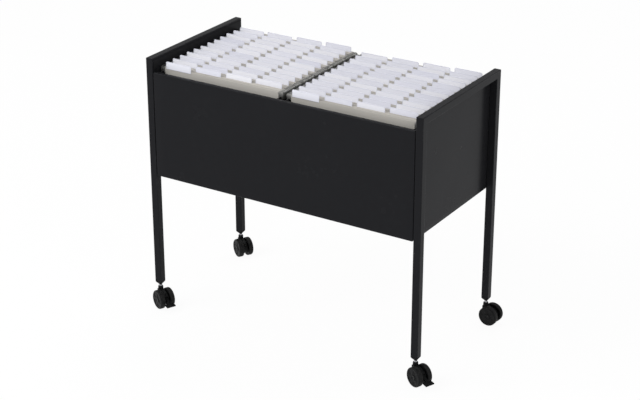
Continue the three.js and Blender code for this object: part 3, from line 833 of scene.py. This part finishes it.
# Hanging files: manila card pockets folded over two nickel-plated bars, whose ends hook on the rails, each
# with a white plastic tab, painted greyer than its label as painted shade, and a paper label. Every body of
# the frame carries four files, one tab in each column, and the first file of a bay is drawn a little apart
# and stands open.
GROUPS = 12
COLUMNS = 4
FILE_STEP = 6.2 * MM
FIRST_STEPS = (-8.6, -1.4, 4.2, 9.8)      # places of the first group's files, in millimetres
SEEDS = {"left": 400, "right": 500}
CARD_HALF = 159 * MM
CARD_DEPTH = 243 * MM
CARD_SHEET = 0.25 * MM
CARD_STATIONS = 13
BAR_OUT = 1.3 * MM          # middle of the pocket to the middle of a bar
FIRST_BAR_OUT = 3.0 * MM
FOLD_RADIUS = 0.6 * MM
FOLD_TOP = 10.5 * MM        # middle of the fold over the lip of the rail
HEM = 17 * MM
BOTTOM_RADIUS = 1.4 * MM
BULGE = 0.3 * MM
BULGE_WAVE = 14             # radians to a metre
SWAY = 0.12 * MM
SWAY_WAVE = 20              # radians to a metre
LIP = 165 * MM
BAR_HALF = 0.4 * MM
BAR_LOW = 4 * MM
BAR_SHORT = 5 * MM          # end of the straight bar before the lip
NOTCH_RADIUS = 2.5 * MM
NOTCH_DROP = 2.2 * MM
HOOK_RADIUS = 1.7 * MM
HOOK_OUT = 4.6 * MM
HOOK_DROP = 6.2 * MM
SHOULDER_RADIUS = 3.7 * MM
SHOULDER_OUT = 3.6 * MM
SHOULDER_DROP = 3.2 * MM
TAB_HALF = 36 * MM
TAB_PITCH = 80.5 * MM
TAB_LOW = 6.5 * MM
TAB_TOP = 24.6 * MM
TAB_CORNER = 3.4 * MM
TAB_FOOT = 1 * MM
TAB_INSETS = (0.2, 0, 0, 0.2, 1.3, 1.5)             # rings from the back to the window, in millimetres
TAB_DEPTHS = (0, -0.15, -0.45, -0.6, -0.6, -0.35)   # of the same rings, in millimetres
TAB_LOSS = (0, 0.8)         # range of the height that a tab lacks, in millimetres
TAB_SHIFT = (-1, 1)         # range in millimetres
TAB_LEAN = (1.5, 5)         # range in degrees
SHEETS = 2
PAPER_SHEET = 0.2 * MM
PAPER_HALF = (146, 154)     # range in millimetres
PAPER_TOP = (5, 20)         # range below the lip of the rail, in millimetres
PAPER_SHIFT = (-3, 3)       # range in millimetres
PAPER_LIFT = 3 * MM
PAPER_SPREAD = 0.4          # share of the room between the hems
FIBRE_DEPTH = 0.03 * MM
NICKEL = (0.68, 0.68, 0.66, 1)
NICKEL_DULL = (0.52, 0.52, 0.50, 1)
MANILA = (0.445, 0.425, 0.39, 1)
MANILA_PALE = (0.56, 0.54, 0.505, 1)
PAPER = (0.80, 0.79, 0.76, 1)
PAPER_GREY = (0.60, 0.59, 0.57, 1)
# The tab plastic is painted greyer than the label: painted shade, for the shadow that shows through a clear
# tab.
TAB_SHADE_GREY = (0.66, 0.67, 0.76, 1)
TAB_SHADE_MILKY = (0.74, 0.75, 0.83, 1)
LABEL = (0.78, 0.79, 0.89, 1)
LABEL_PALE = (0.93, 0.93, 0.97, 1)


def manila_card():
    """Buff card: long fibres, soft clouds and a shade that differs from file to file by its mark."""
    material, start = blank_material("manila_card")
    fibre = noise(object_place(start, (0.25, 1, 1)), 900, 3)
    cloud = noise(object_place(start), 18, 3)
    return surface(material, start, {
        "Base Color": blend(marked(start) * 0.55 + fibre * 0.3 + cloud * 0.3 - 0.15, MANILA, MANILA_PALE),
        "Roughness": 0.72 + fibre * 0.14,
        "Specular IOR Level": 0.3,
        "Normal": bumped(fibre, FIBRE_DEPTH),
    })


def fine_paper(name, colour, other):
    """Smooth paper between two shades, which differs from sheet to sheet by its mark."""
    material, start = blank_material(name)
    fibre = noise(object_place(start), 1500, 2)
    return surface(material, start, {
        "Base Color": blend(marked(start) * 0.7 + fibre * 0.2, colour, other),
        "Roughness": 0.8 + fibre * 0.1,
        "Specular IOR Level": 0.25,
    })


def painted_shade_tab_plastic():
    """Tab plastic, milky white, painted a bluish grey darker than its label: painted shade for the shadow
    seen through a clear tab. It has a smooth skin and faint flow marks.
    """
    material, start = blank_material("painted_shade_tab_plastic")
    flow = noise(object_place(start, (1, 1, 4)), 70, 2)
    return surface(material, start, {
        "Base Color": blend(flow, TAB_SHADE_GREY, TAB_SHADE_MILKY),
        "Roughness": 0.24 + flow * 0.12,
        "Specular IOR Level": 0.45,
    })


def pocket_line(bar_out, bulge):
    """Line across a card pocket in Y and Z: up the front hem, round the bar, down the front leaf
    y = a + (b - a) t + bulge sin(pi t), round the bottom fold, and the same again up to the rear hem."""
    hem = np.array([[FOLD_RADIUS - bar_out, -HEM], [FOLD_RADIUS - bar_out, -0.3 * HEM]])
    fold = arc((-bar_out, FOLD_TOP), FOLD_RADIUS, 0, 180, 7)
    share = np.linspace(0, 1, 12)[1:-1]
    top, low = bar_out + FOLD_RADIUS, BOTTOM_RADIUS
    leaf = np.c_[-(top + (low - top) * share + bulge * np.sin(np.pi * share)),
                 FOLD_TOP - (FOLD_TOP + CARD_DEPTH) * share]
    bottom = arc((0, -CARD_DEPTH), BOTTOM_RADIUS, 180, 270, 4)
    front = np.vstack([hem, fold, leaf, bottom])
    return np.vstack([front, front[-2::-1] * (-1, 1)])


def pocket(bar_out, random):
    """Pocket carried along X, its leaves bowed by 1 + 0.5 sin(k x + p) of the bulge and a little wavy."""
    x = np.linspace(-CARD_HALF, CARD_HALF, CARD_STATIONS)
    flat, full = pocket_line(bar_out, 0), pocket_line(bar_out, BULGE)
    phase = random.uniform(0, 6, 2)
    bow = 1 + 0.5 * np.sin(BULGE_WAVE * x + phase[0])
    line = flat[:, None] + (full - flat)[:, None] * bow[None, :, None]
    sway = SWAY * np.sin(SWAY_WAVE * x + phase[1]) * np.clip(-line[..., 1] / CARD_DEPTH, 0, 1)
    face = np.stack([np.broadcast_to(x, line.shape[:2]), line[..., 0] + sway, line[..., 1]], -1)
    return thick_sheet(face, CARD_SHEET, 0, random.uniform())


def hanging_bar(y):
    """Flat bar with notched hooks: the notch is a half circle over the lip of the rail, and the tip of the
    hook and its shoulder are arcs."""
    notch = arc((LIP, -NOTCH_DROP), NOTCH_RADIUS, 180, 0, 5)
    tip = arc((LIP + HOOK_OUT, -HOOK_DROP), HOOK_RADIUS, 215, 350, 3)
    shoulder = arc((LIP + SHOULDER_OUT, FOLD_TOP - SHOULDER_DROP), SHOULDER_RADIUS, 0, 90, 3)
    half = np.vstack([[LIP - BAR_SHORT, -BAR_LOW], notch, tip, shoulder])
    outline = np.vstack([half, half[::-1] * (-1, 1)])
    faces = [np.insert(outline, 1, y + way * BAR_HALF, axis=1) for way in (-1, 1)]
    return skin(np.stack(faces), 2)


def index_tab(middle, front, random):
    """Tab on the front fold: a plate with round corners, leaning back a little about the top of the fold,
    whose window is set back behind a narrow frame and shows the label."""
    right, corner, foot = TAB_HALF, TAB_CORNER, TAB_FOOT
    top = TAB_TOP - random.uniform(*TAB_LOSS) * MM
    outline = np.vstack([
        arc((right - foot, TAB_LOW + foot), foot, -90, 0, 3),
        arc((right - corner, top - corner), corner, 0, 90, 6),
        arc((corner - right, top - corner), corner, 90, 180, 6),
        arc((foot - right, TAB_LOW + foot), foot, 180, 270, 3),
    ])
    line = inset_lines(outline, np.array(TAB_INSETS) * MM)
    y = np.array(TAB_DEPTHS)[:, None] * MM
    lean = radians(random.uniform(*TAB_LEAN))
    rise = line[..., 1] - FOLD_TOP
    rings = np.stack([middle + random.uniform(*TAB_SHIFT) * MM + line[..., 0],
                      front + y * cos(lean) + rise * sin(lean),
                      FOLD_TOP + rise * cos(lean) - y * sin(lean)], -1)
    return skin(rings, 3, random.uniform(), 4)


def loose_sheets(bar_out, random):
    """Sheets in the pocket, with uneven top edges, side by side between the hems."""
    parts = []
    for place in np.linspace(-1, 1, SHEETS):
        half = random.uniform(*PAPER_HALF) * MM
        top = -random.uniform(*PAPER_TOP) * MM
        x, z = np.meshgrid(np.linspace(-half, half, 4), np.linspace(PAPER_LIFT - CARD_DEPTH, top, 3))
        y = np.full(x.shape, place * PAPER_SPREAD * (bar_out - FOLD_RADIUS))
        sheet = np.stack([x + random.uniform(*PAPER_SHIFT) * MM, y, z], -1)
        parts.append(thick_sheet(sheet, PAPER_SHEET, 1, random.uniform()))
    return parts


def hanging_file(place, column, bar_out, random):
    """One file at its place on the rails, its tab in the given column."""
    front = -bar_out - FOLD_RADIUS - CARD_SHEET
    tab = index_tab((column - (COLUMNS - 1) / 2) * TAB_PITCH, front, random)
    bars = [hanging_bar(way * bar_out) for way in (-1, 1)]
    parts = [pocket(bar_out, random), tab] + bars + loose_sheets(bar_out, random)
    return [moved(part, place) for part in parts]


bar_steel = plated_steel("nickel_steel", NICKEL, NICKEL_DULL)
file_finishes = [manila_card(), fine_paper("paper_sheets", PAPER, PAPER_GREY), bar_steel, painted_shade_tab_plastic(),
                 fine_paper("label_paper", LABEL, LABEL_PALE)]
for bay, seed in SEEDS.items():
    for number in range(GROUPS):
        node = f"{bay}_file_{number + 1:02d}"
        low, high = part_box(node)
        middle = (low + high) / 2
        random = np.random.default_rng(seed + number)
        parts = []
        for column in range(COLUMNS):
            step = FILE_STEP * (column - (COLUMNS - 1) / 2) if number else FIRST_STEPS[column] * MM
            bar_out = BAR_OUT if number or column else FIRST_BAR_OUT
            parts += hanging_file((middle.x, middle.y + step, lip_top), column, bar_out, random)
        make_piece(f"{node}_group", parts, file_finishes, node, [node])

# Stage: a white floor that keeps a soft shadow, white surroundings under a grey ceiling, three large soft
# lights, and the camera of the photograph, to the right of the front and looking down at the tabs.
FLOOR_HALF = 14
FLOOR_WHITE = (0.9, 0.9, 0.9, 1)
FLOOR_PALE = (0.92, 0.92, 0.92, 1)
FLOOR_GLOW = 0.94           # share of plain white that the camera sees, the rest is the lit floor
WHITE = (1, 1, 1, 1)
ROOM_LIGHT = 0.55           # strength of the surroundings for scattered light
CEILING = (0.1, 0.34)       # heights in a direction of length 1 where the ceiling starts and is full
CEILING_SHADE = 0.62
LIGHT_AIM = Vector((0, 0, 0.45))
LIGHTS = (                  # place and width in metres, power in watts
    ("key_light", (-2.1, -2.5, 2.9), 2.4, 88),
    ("fill_light", (2.8, -1.2, 2.6), 2.2, 26),
    ("back_light", (-0.6, 2.3, 4.0), 2.4, 44),
)
CAMERA_PLACE = (1.997, -3.184, 1.318)     # above the top of the frame in Z
CAMERA_PITCH = 23.88
CAMERA_YAW = 32.16
CAMERA_LENS = 96.36


def light_rays(start):
    """1 where the camera looks, straight, through glass or in a mirror image, and 0 for scattered light."""
    straight, through, mirrored = (start.node("ShaderNodeLightPath", {}, {}, name) for name in (
        "Is Camera Ray", "Is Transmission Ray", "Is Glossy Ray"))
    return straight + through + mirrored


floor_paint, start = blank_material("white_floor")
grain = noise(object_place(start), 3, 2)
matt = start.node("ShaderNodeBsdfDiffuse", {}, {"Color": blend(grain, FLOOR_WHITE, FLOOR_PALE)})
glow = start.node("ShaderNodeEmission", {}, {"Color": WHITE})
mixed = start.node("ShaderNodeMixShader", {}, {0: light_rays(start) * FLOOR_GLOW, 1: matt, 2: glow})
start.node("ShaderNodeOutputMaterial", {}, {"Surface": mixed})
floor_mesh = bpy.data.meshes.new("floor")
floor_corners = np.array([[-1, -1, 0], [1, -1, 0], [1, 1, 0], [-1, 1, 0]]) * FLOOR_HALF
floor_mesh.from_pydata(floor_corners.tolist(), [], [[0, 1, 2, 3]])
floor_mesh.materials.append(floor_paint)
floor = bpy.data.objects.new("floor", floor_mesh)
bpy.context.collection.objects.link(floor)

world = bpy.data.worlds.new("white_room")
world.use_nodes = True
world.node_tree.nodes.clear()
start = Value(world.node_tree)
direction = start.node("ShaderNodeTexCoord", {}, {}, "Generated")
height = direction.node("ShaderNodeSeparateXYZ", {}, {"Vector": direction}, "Z")
shade = step_up(height, *CEILING) * CEILING_SHADE
strength = ROOM_LIGHT + light_rays(start) * (1 - ROOM_LIGHT - shade)
room = start.node("ShaderNodeBackground", {}, {"Color": WHITE, "Strength": strength})
start.node("ShaderNodeOutputWorld", {}, {"Surface": room})
bpy.context.scene.world = world

for name, place, width, power in LIGHTS:
    lamp = bpy.data.lights.new(name, "AREA")
    lamp.size = width
    lamp.energy = power
    light = bpy.data.objects.new(name, lamp)
    light.location = place
    light.rotation_euler = (LIGHT_AIM - light.location).to_track_quat("-Z", "Y").to_euler()
    bpy.context.collection.objects.link(light)

lens = bpy.data.cameras.new("photo_camera")
lens.lens = CAMERA_LENS
camera = bpy.data.objects.new("photo_camera", lens)
camera.location = (CAMERA_PLACE[0], CAMERA_PLACE[1], CAMERA_PLACE[2] + cad_bounds[1].z)
camera.rotation_euler = (radians(90 - CAMERA_PITCH), 0, radians(CAMERA_YAW))
bpy.context.collection.objects.link(camera)
scene = bpy.context.scene
scene.camera = camera
scene.view_settings.view_transform = "Standard"
